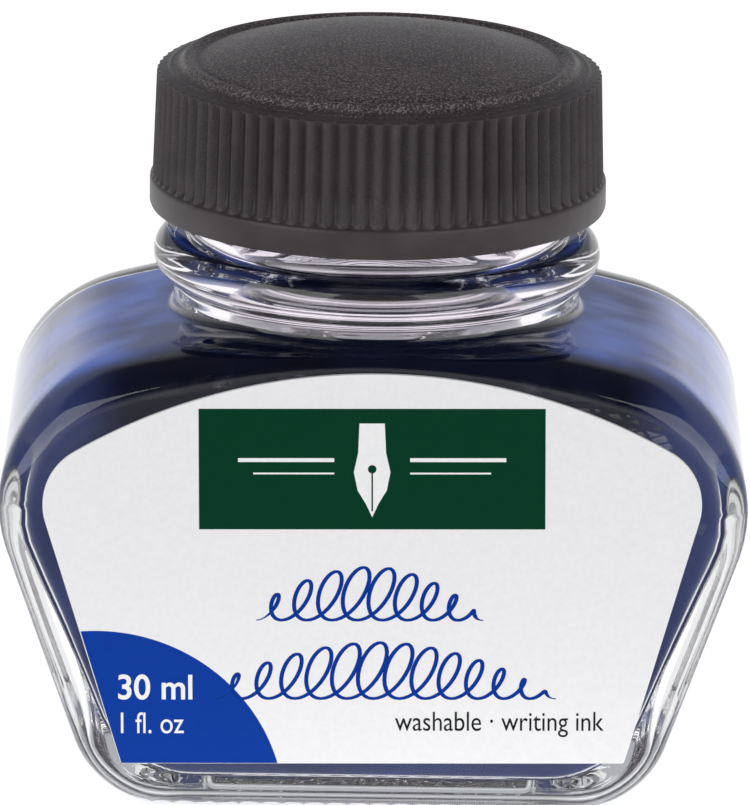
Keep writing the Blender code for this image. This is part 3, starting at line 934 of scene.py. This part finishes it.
def make_prints():
    """The front label's print: green panel with a nib, blue quadrant, pen coils, small print."""
    green = paper_material("green_print", (0.0004, 0.040, 0.018), 0.5, 0.06)
    blue = paper_material("blue_print", (0.003, 0.043, 0.32), 0.5, 0.06)
    pen = paper_material("pen_blue", (0.001, 0.035, 0.28), 0.5, 0.06)
    white = paper_material("white_print", (0.86, 0.86, 0.86))
    dark = paper_material("dark_print", (0.010, 0.010, 0.011), 0.5, 0.1)

    panel_x, panel_low, panel_high = 13.7, 23.9, 33.8
    print_solid("label_panel", [[(-panel_x, panel_low), (panel_x, panel_low),
                                 (panel_x, panel_high), (-panel_x, panel_high)]], green)
    center, radius = (-22.0, 0.5), 15.0
    edge = [p for p in arc(center, radius, 0, 110, 120)
            if LABEL_OUTLINE.distance(np.array(p[0]), np.array(p[1])) < -0.02]
    corner = (-LABEL_OUTLINE.heel_x - 0.12, LABEL_LOW.z + 0.03)
    print_solid("label_quadrant", [edge + [corner]], blue)

    # A pen nib between two pairs of rules on the panel
    tip, shoulder, top = 24.9, 28.6, 32.6
    nib = [(0.0, tip), (0.5, tip + 1.1), (1.15, 27.1), (1.45, shoulder), (1.1, 30.2), (1.0, top),
           (-1.0, top), (-1.1, 30.2), (-1.45, shoulder), (-1.15, 27.1), (-0.5, tip + 1.1)]
    print_solid("label_nib", [nib], white, layer=2)
    slit = [(-0.06, tip + 0.5), (0.06, tip + 0.5), (0.06, shoulder), (-0.06, shoulder)]
    hole = arc((0, shoulder + 0.25), 0.34, 0, 345, 23)
    print_solid("label_nib_slit", [slit, hole], green, layer=3)
    rules = []
    for side in (-1, 1):
        for z, half, reach in ((29.6, 0.16, 10.6), (28.5, 0.07, 9.4)):
            rules.append([(side * 3.0, z - half), (side * reach, z - half),
                          (side * reach, z + half), (side * 3.0, z + half)])
    print_solid("label_rules", rules, white, layer=2)

    stroke = 0.29
    pen_stroke("pen_flourish_1", coil(-9.2, 8.8, 16.4, 9, 4.9, 1.5), stroke, pen)
    pen_stroke("pen_flourish_2", coil(-12.4, 14.6, 9.9, 13, 5.2, 1.6), stroke, pen)

    printed_text("label_volume", "30 ml", (-20.2, 9.8), (-14.3, 11.9), white, 0.016, layer=2)
    printed_text("label_volume_oz", "1 fl. oz", (-20.0, 7.0), (-15.0, 8.75), white, layer=2)
    printed_text("label_contents", "washable \u00b7 writing ink", (1.8, 6.7), (18.4, 8.8), dark)


def make_labels():
    """The front label with its print, then the plain back label."""
    paper = paper_material("label_stock", (0.84, 0.835, 0.84))
    to_object("label_front", skewed(label_sheet(LABEL_FACE)), paper, "bottle",
              ["front_label"], 30)
    make_prints()
    to_object("label_back", label_sheet(-HALF_DEPTH - PAPER_GAP), paper, "bottle",
              ["back_label"], 30)


# ---------------------------------------------------------------- studio

def softbox(location, target, size, radiance):
    """A rectangular light of an even radiance."""
    data = bpy.data.lights.new("softbox", "AREA")
    data.shape = "RECTANGLE"
    data.size, data.size_y = size
    data.energy = radiance * size[0] * size[1] * math.pi
    light = bpy.data.objects.new("softbox", data)
    light.location = location
    light.rotation_euler = (Vector(target) - Vector(location)).to_track_quat("-Z", "Y").to_euler()
    bpy.context.scene.collection.objects.link(light)


def make_floor():
    """A pale floor whose emission paints light on it: faint in front, strong behind and under the
    bottle, as if backlit.
    """
    below = cad_low.z - 0.1 * MM
    bpy.ops.mesh.primitive_plane_add(size=3.0, location=(0, 0, below))
    floor = bpy.context.object
    floor.name = "floor"
    made, nodes, links, shader = new_material("pale_floor")
    set_inputs(shader, Base_Color=(0.9, 0.9, 0.9, 1), Roughness=0.8, Specular_IOR_Level=0.1,
               Emission_Color=(1, 1, 1, 1))
    # painted light: the floor glows faintly in front and strongly behind and under the bottle,
    # filling its shade there
    painted_glow = between(nodes, links, coordinates(nodes, links)["Y"], -0.060, -0.020,
                   low=0.05, high=0.75)
    links.new(painted_glow, shader.inputs["Emission Strength"])
    floor.data.materials.append(made)


def make_room():
    """A white backdrop that greys upwards, and a room that darkens upwards around it."""
    world = bpy.data.worlds.new("studio")
    bpy.context.scene.world = world
    world.use_nodes = True
    nodes, links = world.node_tree.nodes, world.node_tree.links
    toward = coordinates(nodes, links, "Generated")
    behind = between(nodes, links, toward["Y"], -0.45, -0.05)
    low_enough = between(nodes, links, toward["Z"], 0.72, 0.6)
    backdrop = math_node(nodes, links, "MULTIPLY", behind, low_enough)
    room = ramp(nodes, links, toward["Z"],
                [(0.15, (0.9, 0.9, 0.92)), (0.42, (0.06, 0.06, 0.065))])
    wall = ramp(nodes, links, toward["Z"],
                [(0.08, (1.0, 1.0, 1.0)), (0.22, (0.42, 0.43, 0.46))])
    tone = color_mix(nodes, links, backdrop, room, wall)
    links.new(tone, nodes["Background"].inputs["Color"])


def make_lights():
    """A large softbox on each side of the camera."""
    azimuth, elevation, distance = math.radians(48), math.radians(22), 0.75
    target = Vector((0, 0, 0.03))
    for side, radiance in ((-1, 2.1), (1, 1.8)):
        away = Vector((side * math.sin(azimuth) * math.cos(elevation),
                       -math.cos(azimuth) * math.cos(elevation), math.sin(elevation)))
        softbox(target + away * distance, target, (0.65, 0.6), radiance)


def make_camera():
    """A long lens that looks down slightly and leans a little."""
    elevation, distance = math.radians(15.5), 0.9
    picture_height, sensor = 805, 36.0
    scale = 12.40 / MM                  # picture elements per metre at the target
    target = Vector((0.00002, 0, 0.02911))
    data = bpy.data.cameras.new("camera")
    data.sensor_width = sensor
    data.lens = scale * distance * sensor / picture_height
    data.clip_start, data.clip_end = 0.01, 20.0
    camera = bpy.data.objects.new("camera", data)
    back = Vector((0, -math.cos(elevation), math.sin(elevation)))
    look = (-back).to_track_quat("-Z", "Y").to_matrix()
    lean = Matrix.Rotation(math.radians(0.825), 3, "Z")
    camera.matrix_world = Matrix.Translation(target + back * distance) @ (look @ lean).to_4x4()
    bpy.context.scene.collection.objects.link(camera)
    bpy.context.scene.camera = camera


make_glass()
make_ink()
make_cap()
make_wad()
make_labels()
make_floor()
make_room()
make_lights()
make_camera()
bpy.context.scene.view_settings.view_transform = "Standard"
light_paths = bpy.context.scene.cycles          # thick glass turns light back many times
light_paths.max_bounces = light_paths.transmission_bounces = light_paths.glossy_bounces = 32
